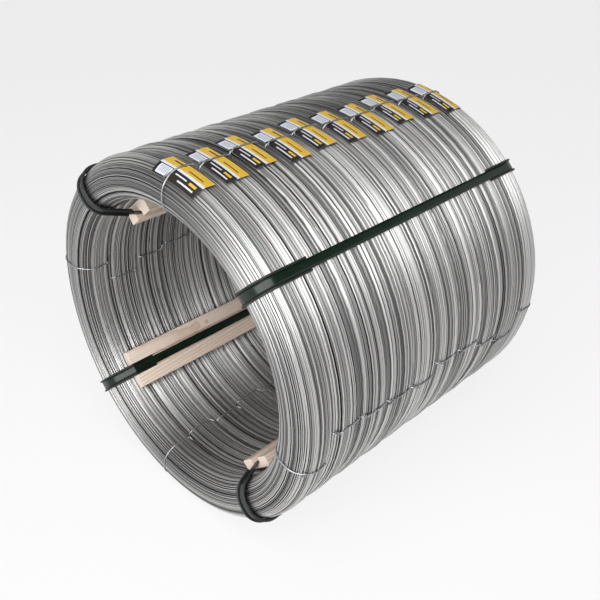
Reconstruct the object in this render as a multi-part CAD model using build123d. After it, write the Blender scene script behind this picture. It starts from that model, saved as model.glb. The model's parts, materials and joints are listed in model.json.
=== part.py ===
"""Pack of drawn wire coils lying on its side, strapped over timber battens.

Frame: X runs along the pack axis, Z is up, the floor is z = 0 under the middle
of the pack. Angles round the axis start at the top (+Z) and grow towards +Y.
Lengths are millimetres, angles are degrees.
"""
from build123d import *
import os
from collections import namedtuple
from math import asin, atan2, cos, degrees, hypot, radians, sin, sqrt, tan

# Driving sizes of the coils
coil_count = 10
coil_outer_diameter = 800.0
coil_inner_diameter = 616.0
coil_pitch = 76.6
coil_crown = 3.0
coil_end_round = 40.0
coil_side_round = 12.0
bead_pitch = 8.0
bead_depth = 1.8

# Most that a coil's rounds may take of its wall and of its width
wall_round_share = 0.44
end_width_share = 0.6
side_width_share = 0.3

# Driving sizes of the tie wires and the label cards
tie_diameter = 3.2
tie_angles = (351.0, 82.0, 168.0, 263.0)
tie_shifts = (
    (2.2, 1.0, 2.4, 0.2, 1.2, -0.6, -1.6, -0.4, -1.8, -3.0),
    (-2.0, 7.0, 2.0, 0.0, 1.5, -1.0, 2.0, 0.0, -1.5, 1.0),
    (3.0, 1.0, 2.5, 0.0, 1.5, -1.0, 1.0, -1.0, 0.5, -1.0),
    (-6.0, 3.5, 2.5, 1.5, 0.0, 3.0, 2.0, -2.0, -6.0, 1.0),
)
label_width = 52.0
label_length = 120.0
label_shift = -8.0
label_thickness = 0.4
label_lag = 1.7

# Driving sizes of the straps and their edge guards
strap_width = 19.0
strap_thickness = 1.0
guard_base = 2.0
guard_rail_width = 4.2
guard_rail_height = 6.7
guard_reach = 110.0
guard_lap = 58.0
guard_stop = 15.0

# Driving sizes of the battens
batten_width = 90.0
batten_thickness = 23.0
heavy_batten_thickness = 34.0
batten_groove_depth = 11.0
batten_edge_round = 6.0
batten_arris = 1.2
top_left_inset = 90.0
bottom_left_inset = 48.0
bottom_right_inset = 65.0
top_right_inset = 60.0

# Clearance left at every seat
seat = 0.3

# Corners of the pack: a strap's angle, its batten, and whether its guards lap onto that batten
Corner = namedtuple("Corner", "name angle inset thickness laps")
corners = (
    Corner("top_left", 41.0, top_left_inset, heavy_batten_thickness, False),
    Corner("bottom_left", 131.5, bottom_left_inset, batten_thickness, True),
    Corner("bottom_right", 221.0, bottom_right_inset, batten_thickness, False),
    Corner("top_right", 313.0, top_right_inset, batten_thickness, True),
)

# Derived sizes
outer_radius = coil_outer_diameter / 2
inner_radius = coil_inner_diameter / 2
middle_radius = (outer_radius + inner_radius) / 2
coil_wall = outer_radius - inner_radius
coil_gap = tie_diameter + label_thickness + 3 * seat
coil_width = coil_pitch - coil_gap
coil_end_radius = min(coil_end_round, coil_wall * wall_round_share, coil_width * end_width_share)
coil_side_radius = min(coil_side_round, coil_wall * wall_round_share, coil_width * side_width_share)
half_length = (coil_count * coil_pitch - coil_gap) / 2
tie_radius = tie_diameter / 2
tie_offset = seat + tie_radius
label_tie_offset = 2 * seat + label_thickness + tie_radius
guard_width = strap_width + 2 * seat + 2 * guard_rail_width
groove_width = guard_width + 2 * seat
strap_offset = 2 * seat + guard_base
guard_bore = sqrt(inner_radius**2 - (guard_width / 2) ** 2)
batten_back = sqrt((inner_radius - seat) ** 2 - (batten_width / 2) ** 2)


def radial_plane(angle, x=0.0):
    """Plane through the axis at an angle: local x is the axis, local y the radius."""
    turn = radians(angle)
    return Plane(origin=(x, 0, outer_radius), x_dir=(1, 0, 0), z_dir=(0, -cos(turn), sin(turn)))


def coil_section(left_radius, right_radius):
    """Section of one coil in local x, radius: two flanks, two crowned crests, four rounds."""
    half = coil_width / 2
    outer_edge = outer_radius - coil_crown
    inner_edge = inner_radius + coil_crown
    wire = Wire(
        [
            ThreePointArc((-half, outer_edge), (0, outer_radius), (half, outer_edge)).edge(),
            Line((half, outer_edge), (half, inner_edge)).edge(),
            ThreePointArc((half, inner_edge), (0, inner_radius), (-half, inner_edge)).edge(),
            Line((-half, inner_edge), (-half, outer_edge)).edge(),
        ]
    )
    face = Face(wire)
    left = [v for v in face.vertices() if v.X < 0]
    face = face.fillet_2d(left_radius, left)
    right = [v for v in face.vertices() if abs(v.X - half) < seat]
    return face.fillet_2d(right_radius, right)


def bead_arcs(stretch):
    """Arcs from valley to valley along a stretch of a coil's outline, an odd number of them.

    Each arc is as high as the outline in its middle. The stretch's two ends stay on the outline.
    """
    count = 2 * max(1, round(stretch.length / bead_pitch / 2)) - 1
    centre = Vector(0, middle_radius)
    valleys = []
    for step in range(count + 1):
        spot = stretch.position_at(step / count)
        along = stretch.tangent_at(step / count)
        inward = Vector(-along.Y, along.X)
        if inward.dot(centre - spot) < 0:
            inward = -inward
        valleys.append(spot + inward * (bead_depth if 0 < step < count else 0))
    crests = [stretch.position_at((2 * step + 1) / (2 * count)) for step in range(count)]
    return [ThreePointArc(*ends).edge() for ends in zip(valleys, crests, valleys[1:])]


def beaded_section(section, pressed_sides):
    """Section whose outline is beaded by its turns, but for the flanks that press on a neighbour."""

    def is_pressed(edge):
        return any(abs(edge.center().X - side * coil_width / 2) < seat for side in pressed_sides)

    outline = section.outer_wire().edges()
    edges = [e for e in outline if is_pressed(e)]
    for stretch in Wire.combine([e for e in outline if not is_pressed(e)]):
        edges += bead_arcs(stretch)
    return Face(Wire(edges, sequenced=True))


def coil_sections():
    """Plain sections of the first, the middle and the last coil."""
    return (
        coil_section(coil_end_radius, coil_side_radius),
        coil_section(coil_side_radius, coil_side_radius),
        coil_section(coil_side_radius, coil_end_radius),
    )


def pick(index):
    """Which of the three sections a coil has."""
    if index == 0:
        return 0
    return 2 if index == coil_count - 1 else 1


def coil_x(index):
    """Middle of a coil on the axis."""
    return (index - (coil_count - 1) / 2) * coil_pitch


def tie_loop(section, offset):
    """Round wire bent once round a coil section, at an offset from its skin to the wire's middle."""
    path = section.outer_wire().offset_2d(offset)
    ring = Plane(origin=path @ 0, z_dir=path % 0) * Circle(tie_radius)
    return sweep(ring, path=path)


def label_card(section):
    """Card bent over the crest of a coil, in local x, radius, turned about the axis by its length."""
    outer = Face(section.outer_wire().offset_2d(seat + label_thickness))
    inner = Face(section.outer_wire().offset_2d(seat))
    crest = Pos(label_shift, outer_radius) * Rectangle(label_width, coil_width)
    strip = (outer - inner) & crest
    span = degrees(label_length / outer_radius)
    return Rot(X=-span / 2) * revolve(strip.faces()[0], Axis.X, span)


def groove_floor(corner):
    """Radius of the floor of a batten's groove."""
    return batten_back - corner.thickness + batten_groove_depth


def batten_end(corner):
    """Distance of a batten's two ends from the middle of the pack."""
    return half_length - corner.inset


def strap_lift(corner):
    """How far a strap comes down where no guard lies between it and the batten."""
    return 0.0 if corner.laps else strap_offset - seat


def taut_corners(corner, offset):
    """Corners and bend radii of a taut loop at an offset from the coils and the batten.

    At each end the loop hugs the outer round of the end coil, then its inner
    round as far in as a flat guard goes, leaves that on the common tangent of
    the two circles and bends over the rounded end of the batten's groove. A
    strap that lies bare on its batten bends about a circle that is smaller
    and lower by the missing guard.
    """
    end = coil_end_radius
    edge = batten_edge_round - strap_lift(corner)
    floor = groove_floor(corner) + strap_lift(corner)
    run_x = batten_end(corner) - batten_edge_round - (half_length - end)
    run_r = floor + edge - (guard_bore + end)
    lean = atan2(run_r, -run_x) + asin((end - edge) / hypot(run_x, run_r))
    normal = (sin(lean), -cos(lean))
    touch_x = -(half_length - end) - abs(normal[0]) * (end + offset)
    touch_r = guard_bore + end - abs(normal[1]) * (end + offset)
    slope = tan(lean)
    face_x = -(half_length + offset)
    floor_r = floor - offset
    low_r = touch_r + slope * (face_x - touch_x)
    low_x = touch_x + (floor_r - touch_r) / slope
    left = [(low_x, floor_r), (face_x, low_r), (face_x, outer_radius + offset)]
    right = [(-x, r) for x, r in reversed(left)]
    bends = [edge + offset, end + offset, end + offset]
    return left + right, bends + bends[::-1]


def loop_face(corner, offset):
    """Face inside the taut loop at an offset."""
    points, bends = taut_corners(corner, offset)
    return Face(Wire(FilletPolyline(*points, radius=bends, close=True).edges()))


def band(corner, near, far):
    """Face between two offsets of the taut loop."""
    return loop_face(corner, far) - loop_face(corner, near)


def slab(face, width, shift=0.0):
    """Face of the radial plane given a width across the strap, about a shift to one side."""
    return Pos(0, 0, shift - width / 2) * extrude(face, amount=width, dir=(0, 0, 1))


def strap_loop(corner):
    """Flat strap once round the pack wall and its batten."""
    return slab(band(corner, strap_offset, strap_offset + strap_thickness), strap_width)


def guard_zone(reach, middle):
    """Rectangle from beyond the near end to a reach along the pack, half a pack high."""
    length = reach + coil_pitch
    return Pos(reach - half_length - length / 2, middle) * Rectangle(length, outer_radius)


def edge_guard(corner):
    """Channel under the strap round the near end: a base and two rails, one leg outside and one in the bore."""
    inner_reach = corner.inset + guard_lap if corner.laps else corner.inset - guard_stop
    outer_leg = guard_zone(guard_reach, middle_radius + outer_radius / 2)
    inner_leg = guard_zone(inner_reach, middle_radius - outer_radius / 2)
    zone = outer_leg + inner_leg
    base = band(corner, seat, seat + guard_base) & zone
    rail = band(corner, seat, seat + guard_rail_height) & zone
    side = (guard_width - guard_rail_width) / 2
    body = slab(base.faces()[0], guard_width)
    for shift in (-side, side):
        body = body + slab(rail.faces()[0], guard_rail_width, shift)
    return body.solids()[0]


def batten(corner):
    """Board with a lengthwise groove for the strap, its groove ends rounded over."""
    length = 2 * batten_end(corner)
    middle = batten_back - corner.thickness / 2
    board = Pos(0, middle, 0) * Box(length, corner.thickness, batten_width)
    along = board.edges().filter_by(Axis.X)
    board = chamfer(along, batten_arris)
    groove_top = Pos(0, groove_floor(corner) - corner.thickness / 2, 0)
    board = board - groove_top * Box(length * 2, corner.thickness, groove_width)
    lips = [
        e
        for e in board.edges().filter_by(Axis.Z)
        if abs(e.center().Y - groove_floor(corner)) < seat and abs(abs(e.center().X) - length / 2) < seat
    ]
    board = fillet(lips, batten_edge_round)
    return board.solids()[0]


def save(shapes, name):
    """Write one node as a STEP file."""
    export_step(Compound(children=list(shapes)) if len(shapes) > 1 else shapes[0], f"parts/{name}.step")


def save_coils():
    """Write the coils with their ties and labels."""
    sections = coil_sections()
    pressed = ((1,), (-1, 1), (-1,))
    coils = [revolve(beaded_section(s, sides), Axis.X, 360) for s, sides in zip(sections, pressed)]
    plain_ties = [tie_loop(s, tie_offset) for s in sections]
    label_ties = [tie_loop(s, label_tie_offset) for s in sections]
    cards = [label_card(s) for s in sections]
    for index in range(coil_count):
        kind = pick(index)
        number = f"{index + 1:02d}"
        x = coil_x(index)
        upright = radial_plane(0, x).location
        save([(upright * coils[kind]).solids()[0]], f"coil_{number}")
        loops = []
        for place, angle in enumerate(tie_angles):
            loop = label_ties[kind] if place == 0 else plain_ties[kind]
            turned = radial_plane(angle + tie_shifts[place][index], x).location * loop
            loops.append(turned.solids()[0])
        save(loops, f"ties_coil_{number}")
        card_angle = tie_angles[0] + tie_shifts[0][index] - label_lag
        save([(radial_plane(card_angle, x).location * cards[kind]).solids()[0]], f"label_{number}")


def save_straps():
    """Write each corner's strap with its batten and its two guards."""
    for corner in corners:
        place = radial_plane(corner.angle).location
        near_guard = edge_guard(corner)
        far_guard = mirror(near_guard, Plane.YZ)
        save([(place * strap_loop(corner)).solids()[0]], f"strap_{corner.name}")
        save([(place * near_guard).solids()[0]], f"edge_guard_near_{corner.name}")
        save([(place * far_guard).solids()[0]], f"edge_guard_far_{corner.name}")
        save([(place * batten(corner)).solids()[0]], f"batten_{corner.name}")


def main():
    os.makedirs("parts", exist_ok=True)
    save_coils()
    save_straps()


main()
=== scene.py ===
"""Looks of a strapped pack of drawn wire coils, laid out as a Blender add-on and run as a script.

Every length is in metres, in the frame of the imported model: X runs along the pack axis, Z is up
and the floor is z = 0. Angles round the axis start at the top and grow towards +Y.
"""
import json
import math
from functools import partial

import bpy
import numpy as np
from mathutils import Matrix, Vector

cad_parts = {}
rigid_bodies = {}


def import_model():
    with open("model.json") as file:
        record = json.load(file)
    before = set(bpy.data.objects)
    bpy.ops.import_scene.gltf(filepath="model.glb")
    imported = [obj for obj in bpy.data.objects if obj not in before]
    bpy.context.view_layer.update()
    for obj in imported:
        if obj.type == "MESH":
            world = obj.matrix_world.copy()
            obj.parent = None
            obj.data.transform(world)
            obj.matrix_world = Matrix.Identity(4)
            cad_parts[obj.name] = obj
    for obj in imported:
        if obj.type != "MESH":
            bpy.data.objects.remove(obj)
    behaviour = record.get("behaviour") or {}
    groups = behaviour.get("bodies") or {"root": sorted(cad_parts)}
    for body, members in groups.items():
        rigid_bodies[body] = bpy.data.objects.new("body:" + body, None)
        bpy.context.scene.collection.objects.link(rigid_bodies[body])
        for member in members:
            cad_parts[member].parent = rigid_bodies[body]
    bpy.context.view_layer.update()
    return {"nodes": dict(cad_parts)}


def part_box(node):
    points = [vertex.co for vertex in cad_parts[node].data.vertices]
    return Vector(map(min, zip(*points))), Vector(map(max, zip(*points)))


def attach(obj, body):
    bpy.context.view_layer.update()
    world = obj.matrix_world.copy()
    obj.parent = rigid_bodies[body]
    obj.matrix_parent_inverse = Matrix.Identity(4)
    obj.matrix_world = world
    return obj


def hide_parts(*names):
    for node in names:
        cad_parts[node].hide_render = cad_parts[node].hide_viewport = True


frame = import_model()

bl_info = {
    "name": "Pack of wire coils",
    "version": (1, 0, 0),
    "blender": (4, 5, 0),
    "location": "3D View > Sidebar > Wire pack",
    "description": "Winds the coils of a wire pack and dresses its ties, labels, straps and battens",
    "category": "Object",
}

MM = 0.001
TURN = 2 * math.pi
FRAME_PIXELS = 600
BODY = "root"
NODE_BOX = {name: [np.array(corner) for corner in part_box(name)] for name in frame["nodes"]}
COILS = sorted(name for name in NODE_BOX if name.startswith("coil_"))
CORNERS = ("top_left", "bottom_left", "bottom_right", "top_right")
HEAVY_CORNERS = ("top_left",)
LAPPED_CORNERS = ("bottom_left", "top_right")
ENDS = ("near", "far")

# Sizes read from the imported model
OUTER_RADIUS = float(NODE_BOX[COILS[1]][1][1])
AXIS_HEIGHT = OUTER_RADIUS
COIL_WIDTH = float(np.ptp(np.array(NODE_BOX[COILS[1]])[:, 0]))
HALF_LENGTH = float(NODE_BOX[COILS[-1]][1][0])

# Noise of the winding: weight, turns between knots and knots a turn of what neighbours share, then
# weight and knots a turn of what each turn has of its own
DRIFT_NOISE = ((0.7, 5, 3), (0.55, 1.6))
DEPTH_NOISE = ((0.6, 3, 4), (0.4, 2.2))
TONE_NOISE = ((0.15, 2, 2), (0.85, 2.3))
MEAN_SINK_SHARE = 0.4

# Layers under the top one: depths in wires, tones from nought, dark, to one, bright, and their spread. The
# core and the under layer get dark tones as painted shade, the shadow in the gaps between turns
CORE_DEPTH = 2.6
CORE_SHADE_TONE = 0.1
UNDER_DEPTH = 0.9
UNDER_SEGMENTS = 40
UNDER_SIDES = 3
UNDER_SHADE_TONES = (0.15, 0.15)
TOP_TONES = (0.74, 0.46)

# Loose turns: lean and dive in wires, sweep in turns
STRAY_REACH = 5
STRAY_SWEEP = (0.25, 0.75)
STRAY_TONES = (0.5, 1.0)

# Ties: least angle between two loops, and how near the top a loop crosses a label
LOOP_GAP = 0.2
LABEL_REACH = math.radians(25)

# First seeds of the coils and of the ties
COIL_SEED = 700
TIE_SEED = 40

# Printed fields of a card, as shares of its length and width: left, right, low, high and ink
CARD_FIELDS = (
    (0.00, 1.00, 0.58, 1.00, "yellow"),
    (0.00, 1.00, 0.00, 0.47, "black"),
    (0.66, 0.94, 0.05, 0.43, "card"),
    (0.08, 0.24, 0.28, 0.38, "yellow"),
    (0.30, 0.56, 0.31, 0.36, "card"),
    (0.08, 0.44, 0.13, 0.19, "card"),
    (0.60, 0.86, 0.80, 0.88, "black"),
    (0.12, 0.46, 0.70, 0.75, "black"),
)

# Field printed with bars, and the level of a sine over which ink lies
BARRED_FIELD = (0.69, 0.90, 0.12, 0.39)
BAR_LEVEL = 0.1

# Lamps: name, direction from the pack, distance and size in metres, power in watts
LAMPS = (
    ("long_front", (-0.66, -0.48, 0.56), 3.0, (4.6, 2.2), 145),
    ("overhead", (-0.3, 0.0, 1.0), 2.6, (2.4, 1.4), 22),
)

# A wave texture of scale one repeats every tenth of pi
WAVE = math.pi / 10

# Colour sockets of a Mix node: its two inputs and its result
MIX_A, MIX_B, MIX_RESULT = 6, 7, 2


def hex_to_linear(text):
    """Turns an sRGB hex colour into linear red, green and blue."""
    parts = np.array([int(text[k:k + 2], 16) for k in (0, 2, 4)]) / 255.0
    low = parts / 12.92
    high = ((parts + 0.055) / 1.055) ** 2.4
    return tuple(float(v) for v in np.where(parts <= 0.04045, low, high))


def length_setting(name, description, default):
    """One length that a user may change."""
    return bpy.props.FloatProperty(
        name=name, description=description, default=default, unit="LENGTH", precision=5
    )


def count_setting(name, description, default):
    """One count that a user may change."""
    return bpy.props.IntProperty(name=name, description=description, default=default, min=1)


def colour_setting(name, description, default):
    """One colour that a user may change, its default an sRGB hex value."""
    return bpy.props.FloatVectorProperty(
        name=name, description=description, default=hex_to_linear(default), subtype="COLOR", size=3
    )


class CoilSettings(bpy.types.PropertyGroup):
    """Sizes and colours of the wound wire."""

    bore_radius: length_setting("Bore radius", "Radius of the bore at the crests", 308 * MM)
    crown: length_setting("Crown", "How far the middle of a crest stands above its edges", 3 * MM)
    side_round: length_setting("Side round", "Corner radius where coils press together", 12 * MM)
    spread_round: length_setting("Spread round", "Corner radius of turns that spread", 10 * MM)
    swell: length_setting("Swell", "How far turns spread into the gap beside them", 1.4 * MM)
    end_round: length_setting("End round", "Corner radius at the free ends of the pack", 40 * MM)
    wire: length_setting("Wire", "Diameter of the wire", 2.6 * MM)
    pitch: length_setting("Pitch", "Distance between turns side by side", 2.8 * MM)
    wander: length_setting("Wander", "How far a turn strays from its place", 3.0 * MM)
    sink: length_setting("Sink", "How deep a turn may lie below the skin", 2.4 * MM)
    flank: length_setting("Flank", "How far down a pressed flank the turns are wound", 18 * MM)
    segments: count_setting("Segments", "Steps round one turn", 66)
    sides: count_setting("Sides", "Faces round the wire", 5)
    strays: count_setting("Strays", "Loose turns on each stretch of the outline", 7)
    bright: colour_setting("Bright wire", "Clean drawn steel", "D9D8D7")
    dull: colour_setting("Dull wire", "Steel with drawing soap left on it", "787777")
    # Painted shade: this near black stands for the shadow deep in the coil, on its core and under layer,
    # and also tints the darkest top turns
    deep: colour_setting("Deep wire", "Steel deep in the coil", "0C0C0D")


class TieSettings(bpy.types.PropertyGroup):
    """Sizes and colour of the tie wires."""

    diameter: length_setting("Tie wire", "Diameter of the tie wire", 3.2 * MM)
    seat: length_setting("Seat", "Clearance between the tie and the coil", 0.3 * MM)
    sink: length_setting("Sink", "How far a tie bites into the coil", 1.4 * MM)
    twist: length_setting("Twist", "How far the twisted ends lean aside", 7 * MM)
    colour: colour_setting("Tie wire", "Soft annealed wire", "B4B5B7")


class LabelSettings(bpy.types.PropertyGroup):
    """Sizes and colours of the label cards."""

    width: length_setting("Width", "Card size over the crest", 52 * MM)
    length: length_setting("Length", "Card size round the coil", 120 * MM)
    shift: length_setting("Shift", "Card's place off the middle of the crest", -8 * MM)
    thickness: length_setting("Thickness", "Card thickness", 0.4 * MM)
    lift: length_setting("Lift", "How far the loose ends stand off", 1.2 * MM)
    bar: length_setting("Bar", "Distance between printed bars, coarse enough to show", 4.435 * MM)
    card: colour_setting("Card", "Bare card", "C6CAD2")
    yellow: colour_setting("Yellow", "Printed yellow field", "C9A433")
    black: colour_setting("Black", "Printed black field", "1E1A17")
    grey: colour_setting("Grey", "Printed bars", "8D9199")


class StrapSettings(bpy.types.PropertyGroup):
    """Sizes and colours of the straps and their edge guards."""

    width: length_setting("Width", "Strap width", 19 * MM)
    thickness: length_setting("Thickness", "Strap thickness", 1.0 * MM)
    base: length_setting("Guard base", "Thickness of the guard under the strap", 2.0 * MM)
    rail_width: length_setting("Guard rail", "Width of a guard rail", 4.2 * MM)
    rail_height: length_setting("Guard rail height", "Height of a guard rail", 6.7 * MM)
    reach: length_setting("Guard reach", "Length of a guard's leg along the outside", 110 * MM)
    lap: length_setting("Guard lap", "How far a lapping guard runs onto its batten", 58 * MM)
    stop: length_setting("Guard stop", "How far short of its batten any other guard ends", 15 * MM)
    seat: length_setting("Seat", "Clearance at every seat", 0.3 * MM)
    strap: colour_setting("Strap", "Green polyester strapping", "0C1E14")
    guard: colour_setting("Guard", "Black polyethylene", "0D0E0F")


class BattenSettings(bpy.types.PropertyGroup):
    """Sizes and colours of the battens."""

    width: length_setting("Width", "Board width", 90 * MM)
    thickness: length_setting("Thickness", "Board thickness", 23 * MM)
    heavy: length_setting("Heavy thickness", "Thickness of the heavier board", 34 * MM)
    groove: length_setting("Groove", "Depth of the strap groove", 11 * MM)
    edge: length_setting("Edge", "Round at the groove's ends", 6 * MM)
    ring: length_setting("Ring spacing", "Distance between growth rings", 4.5 * MM)
    early: colour_setting("Early wood", "Pale early growth", "E0CFC0")
    late: colour_setting("Late wood", "Darker late growth", "CBB29D")
    knot: colour_setting("Knot", "Knot", "8E6A52")
    end: colour_setting("End grain", "Freshly cut end", "E4D5C7")


class StageSettings(bpy.types.PropertyGroup):
    """Camera, floor and light."""

    azimuth: bpy.props.FloatProperty(
        name="Azimuth", description="Way the camera looks", default=math.radians(-44.74), unit="ROTATION"
    )
    elevation: bpy.props.FloatProperty(
        name="Elevation", description="Camera's height angle", default=math.radians(30.74), unit="ROTATION"
    )
    distance: length_setting("Distance", "Camera to the middle of the pack", 1.829)
    lens: bpy.props.FloatProperty(name="Lens", description="Focal length", default=47.46, unit="CAMERA")
    slide: bpy.props.FloatProperty(
        name="Slide", description="Frame's shift sideways", default=0.5 / FRAME_PIXELS
    )
    drop: bpy.props.FloatProperty(
        name="Drop", description="Frame's shift upwards", default=-17.6 / FRAME_PIXELS
    )
    floor: colour_setting("Floor", "Pale studio floor", "FAFAFA")
    even: bpy.props.FloatProperty(
        name="Even", description="Share of the floor seen at plain white", default=0.85
    )
    sky: bpy.props.FloatProperty(name="Sky", description="Strength of the even light", default=0.08)


SETTINGS = {
    "pack_coils": CoilSettings,
    "pack_ties": TieSettings,
    "pack_labels": LabelSettings,
    "pack_straps": StrapSettings,
    "pack_battens": BattenSettings,
    "pack_stage": StageSettings,
}


# Surfaces

def to_space(x, radius, angle, across=0.0):
    """Point at x on the axis, a radius and an angle round it, moved across along the turn."""
    y = radius * np.sin(angle) + across * np.cos(angle)
    z = AXIS_HEIGHT + radius * np.cos(angle) - across * np.sin(angle)
    return np.stack(np.broadcast_arrays(x, y, z), axis=-1)


def grid_quads(rows, columns, loop_rows, loop_columns):
    """Quads of a grid of points, closed round either way where asked."""
    row = np.arange(rows if loop_rows else rows - 1)[:, None]
    column = np.arange(columns if loop_columns else columns - 1)[None, :]
    next_row = (row + 1) % rows * columns
    next_column = (column + 1) % columns
    here = row * columns
    quads = [here + column, here + next_column, next_row + next_column, next_row + column]
    return np.stack(np.broadcast_arrays(*quads), axis=-1).reshape(-1, 4)


def end_caps(rows, columns):
    """The two end polygons of an open tube."""
    first = np.arange(columns)[::-1]
    return [first, first[::-1] + (rows - 1) * columns]


class Shape:
    """Vertices, faces and point values gathered from several surfaces."""

    def __init__(self):
        self.points = []
        self.quads = []
        self.caps = []
        self.values = []
        self.total = 0

    def add(self, points, quads, caps=(), value=0.0):
        """Adds one surface, given as a grid of points."""
        flat = points.reshape(-1, 3)
        self.points.append(flat)
        self.quads.append(quads + self.total)
        self.caps += [cap + self.total for cap in caps]
        self.values.append(np.broadcast_to(value, points.shape[:-1]).reshape(-1))
        self.total += len(flat)

    def add_tube(self, points, closed=False, value=0.0):
        """Adds a tube: rows of rings, with its two ends capped unless it closes on itself."""
        rows, columns = points.shape[:2]
        caps = () if closed else end_caps(rows, columns)
        self.add(points, grid_quads(rows, columns, closed, True), caps, value)

    def mesh(self, name, tone=False, sharp=None):
        """Makes the mesh, smooth shaded, with edges sharper than an angle kept sharp."""
        points = np.concatenate(self.points).astype(np.float32)
        quads = np.concatenate(self.quads).astype(np.int32)
        loops = np.concatenate([quads.reshape(-1), *self.caps]).astype(np.int32)
        sizes = np.concatenate([np.full(len(quads), 4), [len(cap) for cap in self.caps]]).astype(np.int32)
        starts = np.concatenate([[0], np.cumsum(sizes)[:-1]]).astype(np.int32)
        mesh = bpy.data.meshes.new(name)
        mesh.vertices.add(len(points))
        mesh.vertices.foreach_set("co", points.reshape(-1))
        mesh.loops.add(len(loops))
        mesh.loops.foreach_set("vertex_index", loops)
        mesh.polygons.add(len(sizes))
        mesh.polygons.foreach_set("loop_start", starts)
        mesh.update(calc_edges=True)
        mesh.shade_smooth()
        if sharp is not None:
            mesh.set_sharp_from_angle(angle=sharp)
        if tone:
            layer = mesh.attributes.new("tone", "FLOAT", "POINT")
            layer.data.foreach_set("value", np.concatenate(self.values).astype(np.float32))
        return mesh


def place(name, mesh, material, node):
    """Puts a mesh into the scene as a piece that rides on the pack and stands for a CAD node."""
    piece = bpy.data.objects.new(name, mesh)
    bpy.context.collection.objects.link(piece)
    mesh.materials.append(material)
    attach(piece, BODY)
    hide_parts(node)


class Skin:
    """Closed outline of a coil's section, walked from the middle of its left flank over the outer crest.

    It is a rectangle with four rounded corners. Each crest is crowned: the height over the
    section's middle shrinks with the square of the distance from the coil's middle plane.
    """

    def __init__(self, coil, rounds, swells, samples=1600, arc=24):
        half = COIL_WIDTH / 2
        left = half + swells[0]
        right = half + swells[1]
        left_round, right_round = rounds
        rise = (OUTER_RADIUS - coil.bore_radius) / 2
        middle = coil.bore_radius + rise
        corners = (
            (left_round - left, rise - left_round, left_round, math.pi),
            (right - right_round, rise - right_round, right_round, math.pi / 2),
            (right - right_round, right_round - rise, right_round, 0.0),
            (left_round - left, left_round - rise, left_round, -math.pi / 2),
        )
        turn = np.linspace(0, math.pi / 2, arc)
        x = np.concatenate([[-left], *(c + q * np.cos(a - turn) for c, _, q, a in corners), [-left]])
        y = np.concatenate([[0.0], *(c + q * np.sin(a - turn) for _, c, q, a in corners), [0.0]])
        walk = np.concatenate([[0.0], np.cumsum(np.hypot(np.diff(x), np.diff(y)))])
        even = np.linspace(0, walk[-1], samples)
        self.x = np.interp(even, walk, x)
        height = np.interp(even, walk, y)
        self.radius = middle + height * (1 - coil.crown / rise * (self.x / half) ** 2)
        self.walk = np.concatenate([[0.0], np.cumsum(np.hypot(np.diff(self.x), np.diff(self.radius)))])
        self.length = float(self.walk[-1])
        run_x = np.gradient(self.x)
        run_r = np.gradient(self.radius)
        size = np.hypot(run_x, run_r)
        self.out_x = -run_r / size
        self.out_r = run_x / size

    def at(self, walk, height=0.0):
        """Place and outward direction at a distance along the outline, at a height over it."""
        walk = np.mod(walk, self.length)
        out_x = np.interp(walk, self.walk, self.out_x)
        out_r = np.interp(walk, self.walk, self.out_r)
        x = np.interp(walk, self.walk, self.x) + height * out_x
        radius = np.interp(walk, self.walk, self.radius) + height * out_r
        return x, radius, out_x, out_r

    def crest(self):
        """Distance along the outline to the middle of the outer crest."""
        return float(self.walk[np.argmax(self.radius)])


def ease(part):
    """Smooth step from nought to one."""
    return part * part * (3 - 2 * part)


def slow_noise(random, turns, knots, count):
    """Smooth random line between -1 and 1: random knots a set number to a turn, eased between."""
    values = random.uniform(-1, 1, int(math.ceil(turns * knots)) + 2)
    place_on = np.linspace(0, turns * knots, count)
    left = np.floor(place_on).astype(int)
    part = ease(place_on - left)
    return values[left] * (1 - part) + values[left + 1] * part


def bundle_noise(random, turn, across, around):
    """Smooth random surface between -1 and 1 over a wire's turns and its angle round the axis.

    Its knots stand some turns apart and some to a turn, closed round the axis and eased between,
    so that neighbouring turns move together.
    """
    knots = random.uniform(-1, 1, (int(turn[-1] / across) + 2, around))
    row = turn / across
    column = np.mod(turn, 1.0) * around
    low_row = row.astype(int)
    low_column = np.minimum(column.astype(int), around - 1)
    next_column = (low_column + 1) % around
    part_row = ease(row - low_row)
    part_column = ease(column - low_column)
    before = knots[low_row, low_column] * (1 - part_column) + knots[low_row, next_column] * part_column
    next_row = low_row + 1
    after = knots[next_row, low_column] * (1 - part_column) + knots[next_row, next_column] * part_column
    return before * (1 - part_row) + after * part_row


def turn_noise(random, turn, turns, mix):
    """Noise of a winding: a part that neighbouring turns share and a part of each turn's own."""
    (shared, across, around), (own, knots) = mix
    together = shared * bundle_noise(random, turn, across, around)
    return together + own * slow_noise(random, turns, knots, len(turn))


def wire_rings(x, radius, angle, out_x, out_r, wire_radius, sides):
    """Rings of a round wire that runs round the axis: each ring lies in the section's own plane."""
    ring = np.arange(sides) * (TURN / sides)
    along = wire_radius * np.cos(ring)
    aside = wire_radius * np.sin(ring)
    ring_x = x[:, None] + out_x[:, None] * along + out_r[:, None] * aside
    ring_r = radius[:, None] + out_r[:, None] * along - out_x[:, None] * aside
    return to_space(ring_x, ring_r, angle[:, None])


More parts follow.
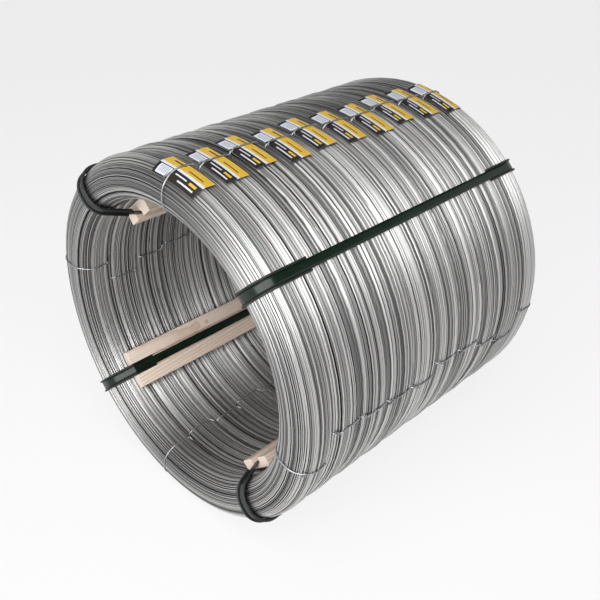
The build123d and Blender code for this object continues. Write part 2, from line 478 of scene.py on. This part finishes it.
def wind_layer(shape, skin, coil, span, random, shift, depth, segments, sides, tones):
    """One layer of a coil: a wire that winds on round the axis while it creeps along the outline.

    Its place along the outline grows by one pitch a turn. Noise that neighbours share moves whole
    bundles aside and in, and slow noise of its own lets a turn cross, ride up and leave a gap.
    """
    start, stop = span
    turns = int((stop - start) / coil.pitch)
    turn = np.linspace(0, turns, turns * segments + 1)
    drift = turn_noise(random, turn, turns, DRIFT_NOISE)
    deep = turn_noise(random, turn, turns, DEPTH_NOISE)
    sunk = coil.sink * np.clip(MEAN_SINK_SHARE + (1 - MEAN_SINK_SHARE) * deep, 0, 1)
    walk = start + shift + coil.pitch * turn + coil.wander * drift
    wire = coil.wire / 2
    x, radius, out_x, out_r = skin.at(walk, -(wire + depth + sunk))
    tone = np.clip(tones[0] + tones[1] * turn_noise(random, turn, turns, TONE_NOISE), 0, 1)
    points = wire_rings(x, radius, turn * TURN, out_x, out_r, wire, sides)
    shape.add_tube(points, value=tone[:, None])


def stray_turns(shape, skin, coil, span, random):
    """Loose turns: each lifts out of the layer, crosses its neighbours aslant and dives back in."""
    wire = coil.wire / 2
    along = np.linspace(0, 1, coil.segments // 2)
    for _ in range(coil.strays):
        begin = random.uniform(*span)
        lean = random.uniform(-1, 1) * STRAY_REACH * coil.wire
        sweep = random.uniform(*STRAY_SWEEP) * TURN
        first = random.uniform(0, TURN)
        walk = begin + lean * ease(along)
        dive = STRAY_REACH * coil.wire * (1 - np.sin(along * math.pi)) ** 3
        x, radius, out_x, out_r = skin.at(walk, -(wire + dive))
        points = wire_rings(x, radius, first + sweep * along, out_x, out_r, wire, coil.sides)
        shape.add_tube(points, value=random.uniform(*STRAY_TONES))


def coil_core(shape, skin, depth, tone, steps=60, columns=32):
    """Inside of a coil, painted dark as shade: its outline drawn in by a depth and turned round the axis.
    """
    walk = np.linspace(0, skin.length, columns, endpoint=False)
    x, radius, _, _ = skin.at(walk, -depth)
    angle = np.linspace(0, TURN, steps, endpoint=False)[:, None]
    points = to_space(x[None, :], radius[None, :], angle)
    shape.add(points, grid_quads(steps, columns, True, True), value=tone)


def shifted(shape, x):
    """Moves a shape along the axis."""
    shape.points = [points + np.array([x, 0.0, 0.0]) for points in shape.points]
    return shape


def coil_middle(name):
    """Middle of a coil on the axis."""
    low, high = NODE_BOX[name]
    return float(low[0] + high[0]) / 2


def coil_skin(coil, name, pressed_round, swell=0.0):
    """Outline of one coil: the free side of an end coil is rounded further and doesn't swell."""
    free = (name == COILS[0], name == COILS[-1])
    rounds = [coil.end_round if side else pressed_round for side in free]
    return Skin(coil, rounds, [0.0 if side else swell for side in free])


def wound_spans(skin, coil, name):
    """Stretches of the outline that show: all but the flanks that neighbours cover."""
    wall = OUTER_RADIUS - coil.bore_radius
    hidden = wall / 2 - coil.spread_round - coil.flank
    crest = skin.crest()
    half_turn = skin.length / 2
    if name == COILS[0]:
        return [(half_turn + hidden, half_turn + skin.length - hidden)]
    if name == COILS[-1]:
        return [(hidden, skin.length - hidden)]
    reach = half_turn / 2 - hidden
    return [(crest - reach, crest + reach), (crest + half_turn - reach, crest + half_turn + reach)]


# Materials

def opaque(colour):
    """Colour with full alpha."""
    return (*colour, 1.0)


def scaled(colour, factor):
    """Colour made darker or lighter by a factor."""
    return [factor * value for value in colour]


def add_node(tree, kind, inputs=(), stops=(), **settings):
    """Adds one node, sets its options, sets or links its inputs, and sets the stops of a ramp."""
    node = tree.nodes.new(f"ShaderNode{kind}")
    for key, value in settings.items():
        setattr(node, key, value)
    for socket, value in dict(inputs).items():
        if isinstance(value, bpy.types.NodeSocket):
            tree.links.new(value, node.inputs[socket])
        else:
            node.inputs[socket].default_value = value
    for position, colour in stops[1:-1]:
        node.color_ramp.elements.new(position).color = opaque(colour)
    for index, (position, colour) in zip((0, -1), stops[:1] + stops[-1:]):
        node.color_ramp.elements[index].position = position
        node.color_ramp.elements[index].color = opaque(colour)
    return node


def new_material(name):
    """Empty material, and a function that adds nodes to its tree."""
    material = bpy.data.materials.new(name)
    material.use_nodes = True
    tree = material.node_tree
    tree.nodes.clear()
    return material, partial(add_node, tree)


def finish_material(add, surface):
    """Ends a material's tree in its output."""
    add("OutputMaterial", {"Surface": surface.outputs["BSDF"]})


def drawn_steel(coil):
    """Low-carbon steel pulled through a die: metallic, bright and dull turns side by side.

    The tone of each turn runs along the wire, from soap left on it to a clean drawn surface. Below the dull
    tone lies painted shade, the deep colour given to the core and the under layer.
    """
    material, add = new_material("drawn_steel_wire")
    tone = add("Attribute", attribute_name="tone")
    # Tones near nought are painted shade: they darken the core and the under layer as the shadow between
    # turns
    ramp = add(
        "ValToRGB", {"Fac": tone.outputs["Fac"]},
        ((0.0, coil.deep), (0.45, coil.dull), (1.0, coil.bright)),
    )
    rough = add("MapRange", {"Value": tone.outputs["Fac"], "To Min": 0.48, "To Max": 0.32})
    surface = add(
        "BsdfPrincipled",
        {"Base Color": ramp.outputs["Color"], "Metallic": 1.0, "Roughness": rough.outputs["Result"]},
    )
    finish_material(add, surface)
    return material


def soft_tie_wire(tie):
    """Annealed tie wire: pale, a little rough, with faint oxide from the furnace."""
    material, add = new_material("annealed_tie_wire")
    place_on = add("TexCoord")
    oxide = add("TexNoise", {"Vector": place_on.outputs["Object"], "Scale": 1 / (9 * MM), "Detail": 2.0})
    ramp = add(
        "ValToRGB", {"Fac": oxide.outputs["Fac"]},
        ((0.3, scaled(tie.colour, 0.55)), (0.6, tie.colour)),
    )
    surface = add(
        "BsdfPrincipled",
        {"Base Color": ramp.outputs["Color"], "Metallic": 1.0, "Roughness": 0.4},
    )
    finish_material(add, surface)
    return material


def polyester_strap(strap):
    """Extruded polyester strapping: smooth, glossy, dark green, faintly mottled in colour and gloss."""
    material, add = new_material("green_polyester_strapping")
    place_on = add("TexCoord")
    mottle = add(
        "TexNoise",
        {"Vector": place_on.outputs["Object"], "Scale": 1 / (40 * MM), "Detail": 3.0},
    )
    ramp = add(
        "ValToRGB", {"Fac": mottle.outputs["Fac"]},
        ((0.35, scaled(strap.strap, 0.7)), (0.65, strap.strap)),
    )
    rough = add("MapRange", {"Value": mottle.outputs["Fac"], "To Min": 0.18, "To Max": 0.32})
    surface = add(
        "BsdfPrincipled",
        {"Base Color": ramp.outputs["Color"], "Roughness": rough.outputs["Result"], "IOR": 1.57,
         "Specular IOR Level": 0.3},
    )
    finish_material(add, surface)
    return material


def black_polyethylene(strap):
    """Extruded black polyethylene: waxy satin with grey scuffs along the rails."""
    material, add = new_material("black_polyethylene_guard")
    place_on = add("TexCoord")
    scuff = add(
        "TexNoise",
        {"Vector": place_on.outputs["Object"], "Scale": 1 / (6 * MM), "Detail": 4.0, "Roughness": 0.65},
    )
    ramp = add(
        "ValToRGB", {"Fac": scuff.outputs["Fac"]},
        ((0.5, strap.guard), (0.8, scaled(strap.guard, 3.0))),
    )
    rough = add("MapRange", {"Value": scuff.outputs["Fac"], "To Min": 0.35, "To Max": 0.6})
    bump = add("Bump", {"Height": scuff.outputs["Fac"], "Strength": 0.2, "Distance": 0.4 * MM})
    surface = add(
        "BsdfPrincipled",
        {"Base Color": ramp.outputs["Color"], "Roughness": rough.outputs["Result"], "IOR": 1.51,
         "Normal": bump.outputs["Normal"]},
    )
    finish_material(add, surface)
    return material


def sawn_pine(batten, name, angle, seed):
    """Sawn pine: growth rings run the board's length, saw marks cross it, knots darken a few spots.

    The rings are drawn round a pith line outside the board, which a slight lean lets run out of its face.
    The fibres are drawn coarser than real ones, so that they show.
    """
    material, add = new_material(f"sawn_pine_{name}")
    place_on = add("TexCoord")
    pith = 360 * MM
    aside = 30 * MM
    along = 310 * MM * seed
    lean = (0.02, 0.03)
    turned = (AXIS_HEIGHT * math.sin(angle), -AXIS_HEIGHT * math.cos(angle))
    board = add(
        "Mapping",
        {"Vector": place_on.outputs["Object"], "Location": (along, turned[0] + aside, turned[1] - pith),
         "Rotation": (angle, *lean)},
    )
    stretch = add("Mapping", {"Vector": board.outputs["Vector"], "Scale": (0.06, 1.0, 1.0)})
    wobble = add("TexNoise", {"Vector": stretch.outputs["Vector"], "Scale": 1 / (30 * MM), "Detail": 3.0})
    rings = add(
        "TexWave",
        {"Vector": board.outputs["Vector"], "Scale": WAVE / batten.ring, "Distortion": 2.2,
         "Detail": 2.0, "Detail Scale": 0.6},
        wave_type="RINGS", rings_direction="X", wave_profile="SAW",
    )
    fibre = add("TexNoise", {"Vector": stretch.outputs["Vector"], "Scale": 1 / (1.2 * MM), "Detail": 2.0})
    ramp = add("ValToRGB", {"Fac": rings.outputs["Fac"]}, ((0.35, batten.early), (1.0, batten.late)))
    grey = add(
        "MapRange",
        {"Value": wobble.outputs["Fac"], "From Min": 0.3, "From Max": 0.7, "To Min": 0.82, "To Max": 1.06},
    )
    toned = add(
        "Mix", {"Factor": 1.0, MIX_A: ramp.outputs["Color"], MIX_B: grey.outputs["Result"]},
        data_type="RGBA", blend_type="MULTIPLY",
    )
    squeeze = add("Mapping", {"Vector": board.outputs["Vector"], "Scale": (0.55, 1.0, 0.35)})
    cells = add("TexVoronoi", {"Vector": squeeze.outputs["Vector"], "Scale": 1 / (160 * MM)})
    spot = add(
        "MapRange",
        {"Value": cells.outputs["Distance"], "From Min": 0.03, "From Max": 0.06, "To Min": 0.7,
         "To Max": 0.0},
    )
    knotty = add(
        "Mix",
        {"Factor": spot.outputs["Result"], MIX_A: toned.outputs[MIX_RESULT], MIX_B: opaque(batten.knot)},
        data_type="RGBA",
    )
    facing = add("SeparateXYZ", {"Vector": place_on.outputs["Normal"]})
    endways = add("Math", {0: facing.outputs["X"]}, operation="ABSOLUTE")
    cut = add("MapRange", {"Value": endways.outputs["Value"], "From Min": 0.6, "To Max": 0.8})
    ended = add(
        "Mix",
        {"Factor": cut.outputs["Result"], MIX_A: knotty.outputs[MIX_RESULT], MIX_B: opaque(batten.end)},
        data_type="RGBA",
    )
    saw = add(
        "TexWave",
        {"Vector": board.outputs["Vector"], "Scale": WAVE / (3.0 * MM), "Distortion": 1.5},
        wave_type="BANDS", bands_direction="X",
    )
    relief = add("Math", {0: saw.outputs["Fac"], 1: fibre.outputs["Fac"]}, operation="ADD")
    bump = add("Bump", {"Height": relief.outputs["Value"], "Strength": 0.35, "Distance": 0.3 * MM})
    surface = add(
        "BsdfPrincipled",
        {"Base Color": ended.outputs[MIX_RESULT], "Roughness": 0.78, "Normal": bump.outputs["Normal"]},
    )
    finish_material(add, surface)
    return material


def printed_card(label):
    """Coated card printed with plain fields and bars: a yellow field, a black band and a barred panel."""
    material, add = new_material("printed_label_card")
    place_on = add("UVMap", uv_map="card")
    axes = add("SeparateXYZ", {"Vector": place_on.outputs["UV"]})
    inks = {ink: opaque(getattr(label, ink)) for ink in ("card", "yellow", "black", "grey")}
    colour = inks["card"]
    for *field, ink in CARD_FIELDS:
        inside = field_mask(add, axes, *field)
        mixed = add("Mix", {"Factor": inside, MIX_A: colour, MIX_B: inks[ink]}, data_type="RGBA")
        colour = mixed.outputs[MIX_RESULT]
    panel = field_mask(add, axes, *BARRED_FIELD)
    bars = add("Math", {0: axes.outputs["X"], 1: TURN * label.length / label.bar}, operation="MULTIPLY")
    stripe = add("Math", {0: bars.outputs["Value"]}, operation="SINE")
    inked = add("Math", {0: stripe.outputs["Value"], 1: BAR_LEVEL}, operation="GREATER_THAN")
    barred = add("Math", {0: inked.outputs["Value"], 1: panel}, operation="MULTIPLY")
    mixed = add(
        "Mix", {"Factor": barred.outputs["Value"], MIX_A: colour, MIX_B: inks["grey"]},
        data_type="RGBA",
    )
    surface = add(
        "BsdfPrincipled",
        {"Base Color": mixed.outputs[MIX_RESULT], "Roughness": 0.42, "IOR": 1.5},
    )
    finish_material(add, surface)
    return material


def field_mask(add, axes, left, right, low, high):
    """One where the card's coordinates lie inside a rectangle, else nought."""
    tests = (("X", left, "GREATER_THAN"), ("X", right, "LESS_THAN"), ("Y", low, "GREATER_THAN"),
             ("Y", high, "LESS_THAN"))
    value = 1.0
    for axis, limit, test in tests:
        side = add("Math", {0: axes.outputs[axis], 1: limit}, operation=test)
        both = add("Math", {0: side.outputs["Value"], 1: value}, operation="MULTIPLY")
        value = both.outputs["Value"]
    return value


def studio_floor(stage):
    """Matt pale paper sweep: part of it is seen at a plain white, so that it stays even far away."""
    material, add = new_material("pale_paper_sweep")
    paper = add("BsdfPrincipled", {"Base Color": opaque(stage.floor), "Roughness": 0.9})
    white = add("Emission", {"Color": opaque(stage.floor), "Strength": 1.0})
    rays = add("LightPath")
    seen = rays.outputs["Is Camera Ray"]
    for other in ("Is Glossy Ray", "Is Transmission Ray"):
        either = add("Math", {0: seen, 1: rays.outputs[other]}, operation="MAXIMUM")
        seen = either.outputs["Value"]
    share = add("Math", {0: seen, 1: stage.even}, operation="MULTIPLY")
    mixed = add(
        "MixShader",
        {"Fac": share.outputs["Value"], 1: paper.outputs["BSDF"], 2: white.outputs["Emission"]},
    )
    add("OutputMaterial", {"Surface": mixed.outputs["Shader"]})
    return material


# Straps

class TautLoop:
    """Line that a strap takes round the pack wall at one corner, with the direction that points off it.

    From the middle of the groove floor it runs to the batten's end, bends over the groove's rounded
    lip, leaves it on the tangent common to that lip and the inner round of the end coil, hugs this
    round, climbs the end face, hugs the outer round and runs along the crests. The other half mirrors
    it. Where no guard laps onto the batten, the line drops by the guard's thickness at the lip.
    """

    def __init__(self, coil, strap, batten, corner, arc=14, run=20):
        end = coil.end_round
        lapped = corner in LAPPED_CORNERS
        thickness = batten.heavy if corner in HEAVY_CORNERS else batten.thickness
        lift = 0.0 if lapped else strap.seat + strap.base
        half_guard = strap.width / 2 + strap.seat + strap.rail_width
        bore = math.sqrt(coil.bore_radius ** 2 - half_guard ** 2)
        back = math.sqrt((coil.bore_radius - strap.seat) ** 2 - (batten.width / 2) ** 2)
        floor = back - thickness + batten.groove + lift
        edge = batten.edge - lift
        board_end = float(NODE_BOX[f"batten_{corner}"][1][0])
        lip = np.array([batten.edge - board_end, floor + edge])
        inner = np.array([end - HALF_LENGTH, bore + end])
        outer = np.array([end - HALF_LENGTH, OUTER_RADIUS - end])
        gap = lip - inner
        lean = math.atan2(gap[1], gap[0]) - math.acos((end - edge) / math.hypot(*gap))
        pieces = [
            self.straight((0.0, floor), (lip[0], floor), -math.pi / 2, run),
            self.round(lip, edge, -math.pi / 2, lean, arc),
            self.round(inner, end, lean, -math.pi, arc),
            self.round(outer, end, math.pi, math.pi / 2, arc),
            self.straight((outer[0], OUTER_RADIUS), (0.0, OUTER_RADIUS), math.pi / 2, run, True)[1:],
        ]
        half = np.concatenate(pieces)
        mirrored = half[::-1] * np.array([-1.0, 1.0, -1.0, 1.0])
        self.line = np.concatenate([half, mirrored[1:-1]])
        inset = HALF_LENGTH - board_end
        inner_reach = inset + strap.lap if lapped else inset - strap.stop
        self.end_line = self.cut(half, inner_reach - HALF_LENGTH, strap.reach - HALF_LENGTH)

    @staticmethod
    def cut(half, inner_stop, outer_stop):
        """Stretch of the line round the end, from a place on its inner leg to one on its outer leg."""
        turn = int(np.argmin(half[:, 0]))
        inner = half[:turn + 1][::-1]
        outer = half[turn + 1:]
        first = [np.interp(inner_stop, inner[:, 0], column) for column in inner.T]
        last = [np.interp(outer_stop, outer[:, 0], column) for column in outer.T]
        kept = [inner[inner[:, 0] < inner_stop][::-1], outer[outer[:, 0] < outer_stop]]
        return np.concatenate([[first], *kept, [last]])

    @staticmethod
    def straight(start, stop, way, count, last=False):
        """Points along a straight run, with one direction off it."""
        part = np.linspace(0, 1, count, endpoint=last)[:, None]
        spots = np.array(start) * (1 - part) + np.array(stop) * part
        off = np.broadcast_to([math.cos(way), math.sin(way)], spots.shape)
        return np.concatenate([spots, off], axis=1)

    @staticmethod
    def round(centre, radius, start, stop, count):
        """Points along an arc, with the direction off it."""
        way = np.linspace(start, stop, count)
        off = np.stack([np.cos(way), np.sin(way)], axis=1)
        return np.concatenate([centre + radius * off, off], axis=1)


def carry_profile(line, profile, angle, mirror=1.0):
    """Carries a profile of across and height values along a taut line in the plane at an angle."""
    x = line[:, None, 0] + line[:, None, 2] * profile[None, :, 1]
    radius = line[:, None, 1] + line[:, None, 3] * profile[None, :, 1]
    across = profile[None, :, 0]
    return to_space(mirror * x, radius, angle, np.broadcast_to(across, x.shape))


def strap_profile(strap, soft_share=0.35, flat_share=0.4):
    """Flat strap with softened edges, counted round from its lower edge."""
    low = 2 * strap.seat + strap.base
    high = low + strap.thickness
    half = strap.width / 2
    soft = strap.thickness * soft_share
    return np.array([
        (-half + soft, low), (half - soft, low), (half, low + soft), (half, high - soft),
        (half - soft, high), (half * flat_share, high), (-half * flat_share, high),
        (-half + soft, high), (-half, high - soft), (-half, low + soft),
    ])


def guard_profile(strap, foot_share=0.5, arc=7):
    """Channel: a base and two rails with rounded tops."""
    low = strap.seat
    base = low + strap.base
    top = low + strap.rail_height
    inside = strap.width / 2 + strap.seat
    outside = inside + strap.rail_width
    soft = strap.rail_width / 2
    turn = np.linspace(0, math.pi, arc)
    right = np.stack([inside + soft + soft * np.cos(turn), top - soft + soft * np.sin(turn)], axis=1)
    left = right[::-1] * np.array([-1.0, 1.0])
    foot = soft * foot_share
    return np.concatenate([
        [(-outside + foot, low), (outside - foot, low), (outside, low + foot)],
        right,
        [(inside, base), (-inside, base)],
        left,
        [(-outside, low + foot)],
    ])


def strap_angle(name):
    """Angle of a strap round the axis, from the middle of its batten."""
    low, high = NODE_BOX[f"batten_{name}"]
    middle = (low + high) / 2
    return math.atan2(middle[1], middle[2] - AXIS_HEIGHT)


# Ties and labels

def tie_places(name):
    """Angles of the tie loops of a coil, from the loose parts of its CAD node."""
    mesh = bpy.data.objects[name].data
    points = np.empty(len(mesh.vertices) * 3)
    mesh.vertices.foreach_get("co", points)
    points = points.reshape(-1, 3)
    angle = np.arctan2(points[:, 1], points[:, 2] - AXIS_HEIGHT)
    turn = np.sort(np.mod(angle, TURN))
    jumps = np.flatnonzero(np.diff(turn) > LOOP_GAP)
    starts = np.concatenate([[0], jumps + 1])
    stops = np.concatenate([jumps + 1, [len(turn)]])
    return [float(turn[a:b].mean()) for a, b in zip(starts, stops)]


def tie_loop(shape, skin, angle, height, wire, steps=72, sides=6):
    """Closed loop of tie wire: a ring carried round the coil's outline at a height, in one radial plane."""
    walk = np.linspace(0, skin.length, steps, endpoint=False)
    ring = np.arange(sides) * (TURN / sides)
    up = height + wire * np.cos(ring)
    x, radius, _, _ = skin.at(walk[:, None], up[None, :])
    across = np.broadcast_to(wire * np.sin(ring), x.shape)
    shape.add_tube(to_space(x, radius, angle, across)[:, ::-1], closed=True)


def tie_twist(shape, skin, angle, base, height, wire, length, random, turns=2.6, steps=26, sides=5):
    """Twisted ends of a tie: two wires wound round one line that dives over the coil's shoulder."""
    start_share, reach_share = 0.30, 0.16
    rise_share, hump_share, lay_share, thin_share = 1.2, 1.5, 0.95, 0.8
    part = np.linspace(0, 1, steps)
    walk = base - COIL_WIDTH * (start_share + reach_share * part)
    rise = height + wire * (rise_share + hump_share * part * (1 - part))
    thin = wire * thin_share
    way = random.choice([-1.0, 1.0])
    ring = np.arange(sides) * (TURN / sides)
    for start in (0.0, math.pi):
        wind = start + part * turns * TURN
        up = rise + wire * lay_share * np.cos(wind)
        aside = way * length * part * part + wire * lay_share * np.sin(wind)
        x, radius, _, _ = skin.at(walk[:, None], up[:, None] + thin * np.cos(ring))
        across = aside[:, None] + thin * np.sin(ring)
        shape.add_tube(to_space(x, radius, angle, across))


def label_sheet(label, skin, angle, steps=24, columns=13):
    """Card bent over a coil's crest: rows round the coil, each a closed strip of top and underside.

    Its ends stand off by the fourth power of the distance from its middle.
    """
    half = label.width / 2
    side = np.linspace(-half, half, columns)
    part = np.linspace(-1, 1, steps)
    turn = angle + part * label.length / 2 / OUTER_RADIUS
    curl = label.lift * part ** 4
    walk = skin.crest() + label.shift + side
    top = skin.at(walk[None, :], (label.thickness + curl)[:, None])
    under = skin.at(walk[None, ::-1], curl[:, None])
    x = np.concatenate([top[0], under[0]], axis=1)
    radius = np.concatenate([top[1], under[1]], axis=1)
    return to_space(x, radius, turn[:, None])


# Operators

class PACK_OT_wind_coils(bpy.types.Operator):
    """Wind every coil from turns of wire over a core painted dark as shade"""

    bl_idname = "pack.wind_coils"
    bl_label = "Wind coils"

    def execute(self, context):
        coil = context.scene.pack_coils
        steel = drawn_steel(coil)
        layers = (
            (coil.pitch / 2, UNDER_DEPTH * coil.wire, UNDER_SEGMENTS, UNDER_SIDES, UNDER_SHADE_TONES),
            (0.0, 0.0, coil.segments, coil.sides, TOP_TONES),
        )
        for number, name in enumerate(COILS):
            random = np.random.default_rng(COIL_SEED + number)
            skin = coil_skin(coil, name, coil.spread_round, coil.swell)
            shape = Shape()
            coil_core(shape, skin, CORE_DEPTH * coil.wire, CORE_SHADE_TONE)
            for span in wound_spans(skin, coil, name):
                for layer in layers:
                    wind_layer(shape, skin, coil, span, random, *layer)
                stray_turns(shape, skin, coil, span, random)
            mesh = shifted(shape, coil_middle(name)).mesh(f"wound_{name}", tone=True)
            place(f"wound_{name}", mesh, steel, name)
        return {"FINISHED"}


class PACK_OT_bend_ties(bpy.types.Operator):
    """Bend the four tie wires of every coil and twist their ends"""

    bl_idname = "pack.bend_ties"
    bl_label = "Bend ties"

    def execute(self, context):
        scene = context.scene
        tie = scene.pack_ties
        wire = tie.diameter / 2
        metal = soft_tie_wire(tie)
        for number, name in enumerate(COILS):
            random = np.random.default_rng(TIE_SEED + number)
            skin = coil_skin(scene.pack_coils, name, scene.pack_coils.side_round)
            shape = Shape()
            for angle in tie_places(f"ties_{name}"):
                top = math.cos(angle) > math.cos(LABEL_REACH)
                height = wire + (tie.seat + scene.pack_labels.thickness if top else -tie.sink)
                tie_loop(shape, skin, angle, height, wire)
                inside = math.sin(angle) > 0
                base = skin.crest() + (skin.length / 2 if inside else 0.0)
                tie_twist(shape, skin, angle, base, height, wire, tie.twist, random)
            mesh = shifted(shape, coil_middle(name)).mesh(f"tied_{name}")
            place(f"tied_{name}", mesh, metal, f"ties_{name}")
        return {"FINISHED"}


class PACK_OT_lay_labels(bpy.types.Operator):
    """Lay a printed card over the crest of every coil"""

    bl_idname = "pack.lay_labels"
    bl_label = "Lay labels"

    def execute(self, context):
        scene = context.scene
        label = scene.pack_labels
        card = printed_card(label)
        for name in COILS:
            node = name.replace("coil", "label")
            # Beside a neighbour the card stays flat over the coil's rounded edge
            skin = coil_skin(scene.pack_coils, name, label.thickness)
            low, high = NODE_BOX[node]
            top = (low + high) / 2
            angle = math.atan2(top[1], top[2] - AXIS_HEIGHT)
            rows = label_sheet(label, skin, angle)
            rows = rows + np.array([coil_middle(name), 0.0, 0.0])
            shape = Shape()
            shape.add_tube(rows)
            mesh = shape.mesh(f"card_{node}", sharp=math.radians(50))
            self.map_card(mesh, rows.shape[0], rows.shape[1])
            place(f"card_{node}", mesh, card, node)
        return {"FINISHED"}

    @staticmethod
    def map_card(mesh, rows, columns):
        """Card coordinates: along the card with the rows, across it with the strip's two sides."""
        half = columns // 2
        across = np.linspace(0, 1, half)
        across = np.concatenate([across, across[::-1]])
        grid = np.stack(np.broadcast_arrays(np.linspace(0, 1, rows)[:, None], across[None, :]), axis=-1)
        corner = np.empty(len(mesh.loops), dtype=np.int32)
        mesh.loops.foreach_get("vertex_index", corner)
        layer = mesh.uv_layers.new(name="card")
        layer.data.foreach_set("uv", grid.reshape(-1, 2)[corner].astype(np.float32).reshape(-1))


class PACK_OT_dress_battens(bpy.types.Operator):
    """Give the battens their sawn pine"""

    bl_idname = "pack.dress_battens"
    bl_label = "Dress battens"

    def execute(self, context):
        for number, name in enumerate(CORNERS):
            pine = sawn_pine(context.scene.pack_battens, name, strap_angle(name), number + 1)
            board = bpy.data.objects[f"batten_{name}"]
            board.data.materials.clear()
            board.data.materials.append(pine)
        return {"FINISHED"}


class PACK_OT_draw_straps(bpy.types.Operator):
    """Draw the straps tight over their edge guards"""

    bl_idname = "pack.draw_straps"
    bl_label = "Draw straps"

    def execute(self, context):
        scene = context.scene
        strap = scene.pack_straps
        green = polyester_strap(strap)
        black = black_polyethylene(strap)
        for name in CORNERS:
            angle = strap_angle(name)
            loop = TautLoop(scene.pack_coils, strap, scene.pack_battens, name)
            shape = Shape()
            shape.add_tube(carry_profile(loop.line, strap_profile(strap), angle), closed=True)
            mesh = shape.mesh(f"taut_strap_{name}", sharp=math.radians(60))
            place(f"taut_strap_{name}", mesh, green, f"strap_{name}")
            for end, mirror in zip(ENDS, (1.0, -1.0)):
                points = carry_profile(loop.end_line, guard_profile(strap), angle, mirror)
                shape = Shape()
                shape.add_tube(points if mirror > 0 else points[:, ::-1])
                mesh = shape.mesh(f"channel_{end}_{name}", sharp=math.radians(60))
                place(f"channel_{end}_{name}", mesh, black, f"edge_guard_{end}_{name}")
        return {"FINISHED"}


class PACK_OT_set_stage(bpy.types.Operator):
    """Set the floor, the lights and the camera"""

    bl_idname = "pack.set_stage"
    bl_label = "Set stage"

    def execute(self, context):
        scene = context.scene
        stage = scene.pack_stage
        middle = Vector((0, 0, AXIS_HEIGHT))
        self.floor(stage)
        for lamp in LAMPS:
            self.lamp(middle, *lamp)
        world = scene.world or bpy.data.worlds.new("studio")
        scene.world = world
        world.use_nodes = True
        world.node_tree.nodes.clear()
        sky = add_node(
            world.node_tree, "Background", {"Color": (1.0, 1.0, 1.0, 1.0), "Strength": stage.sky}
        )
        add_node(world.node_tree, "OutputWorld", {"Surface": sky.outputs["Background"]})
        self.camera(scene, stage, middle)
        scene.view_settings.view_transform = "Standard"
        return {"FINISHED"}

    @staticmethod
    def floor(stage, hub=0.2, ring=2.0, flat=8.0, bend=2.5, wall=4.0, steps=72, arc=10):
        """Paper sweep round the pack: a flat disc that turns up by a quarter round into a wall."""
        turn = np.linspace(0, math.pi / 2, arc)
        radius = np.concatenate([[hub, ring], flat + bend * np.sin(turn), [flat + bend]])
        height = np.concatenate([[0.0, 0.0], bend - bend * np.cos(turn), [bend + wall]])
        angle = np.linspace(0, TURN, steps, endpoint=False)[:, None]
        x = radius * np.cos(angle)
        y = radius * np.sin(angle)
        points = np.stack(np.broadcast_arrays(x, y, height), axis=-1)
        columns = len(radius)
        shape = Shape()
        middle = np.arange(steps) * columns
        shape.add(points, grid_quads(steps, columns, True, False), [middle])
        floor = bpy.data.objects.new("studio_floor", shape.mesh("studio_floor"))
        floor.data.materials.append(studio_floor(stage))
        bpy.context.collection.objects.link(floor)

    @staticmethod
    def lamp(middle, name, way, distance, size, power):
        """Soft box that faces the middle of the pack from a direction, its long side along the pack."""
        data = bpy.data.lights.new(name, "AREA")
        data.shape = "RECTANGLE"
        data.size, data.size_y = size
        data.energy = power
        lamp = bpy.data.objects.new(name, data)
        toward = Vector(way).normalized()
        lamp.location = middle + toward * distance
        across = toward.cross(Vector((1, 0, 0))).normalized()
        lamp.rotation_euler = Matrix((across.cross(toward), across, toward)).transposed().to_euler()
        bpy.context.collection.objects.link(lamp)

    @staticmethod
    def camera(scene, stage, middle, sensor=36.0):
        """Camera at the photograph's angle, its frame shifted so that the pack sits as it does there."""
        data = bpy.data.cameras.new("view")
        data.lens = stage.lens
        data.sensor_width = sensor
        data.shift_x = stage.slide
        data.shift_y = stage.drop
        camera = bpy.data.objects.new("view", data)
        flat = math.cos(stage.elevation)
        aside = math.sin(stage.azimuth) * flat
        forward = -math.cos(stage.azimuth) * flat
        back = Vector((aside, forward, math.sin(stage.elevation)))
        camera.location = middle + back * stage.distance
        camera.rotation_euler = back.to_track_quat("Z", "Y").to_euler()
        bpy.context.collection.objects.link(camera)
        scene.camera = camera


OPERATORS = (
    PACK_OT_wind_coils, PACK_OT_bend_ties, PACK_OT_lay_labels, PACK_OT_dress_battens,
    PACK_OT_draw_straps, PACK_OT_set_stage,
)


class PACK_PT_panel(bpy.types.Panel):
    """Lists the pack's operators and settings."""

    bl_idname = "PACK_PT_panel"
    bl_label = "Wire pack"
    bl_space_type = "VIEW_3D"
    bl_region_type = "UI"
    bl_category = "Wire pack"

    def draw(self, context):
        for operator in OPERATORS:
            self.layout.operator(operator.bl_idname)
        for key, group in SETTINGS.items():
            box = self.layout.box()
            for setting in group.__annotations__:
                box.prop(getattr(context.scene, key), setting)


def register():
    """Registers the settings, the operators and the panel."""
    for key, group in SETTINGS.items():
        bpy.utils.register_class(group)
        setattr(bpy.types.Scene, key, bpy.props.PointerProperty(type=group))
    for operator in (*OPERATORS, PACK_PT_panel):
        bpy.utils.register_class(operator)


def unregister():
    """Takes everything that register added away again."""
    for operator in (PACK_PT_panel, *reversed(OPERATORS)):
        bpy.utils.unregister_class(operator)
    for key, group in reversed(SETTINGS.items()):
        delattr(bpy.types.Scene, key)
        bpy.utils.unregister_class(group)


def main():
    """Registers the add-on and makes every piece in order."""
    register()
    bpy.ops.pack.wind_coils()
    bpy.ops.pack.bend_ties()
    bpy.ops.pack.lay_labels()
    bpy.ops.pack.dress_battens()
    bpy.ops.pack.draw_straps()
    bpy.ops.pack.set_stage()


if __name__ == "__main__":
    main()
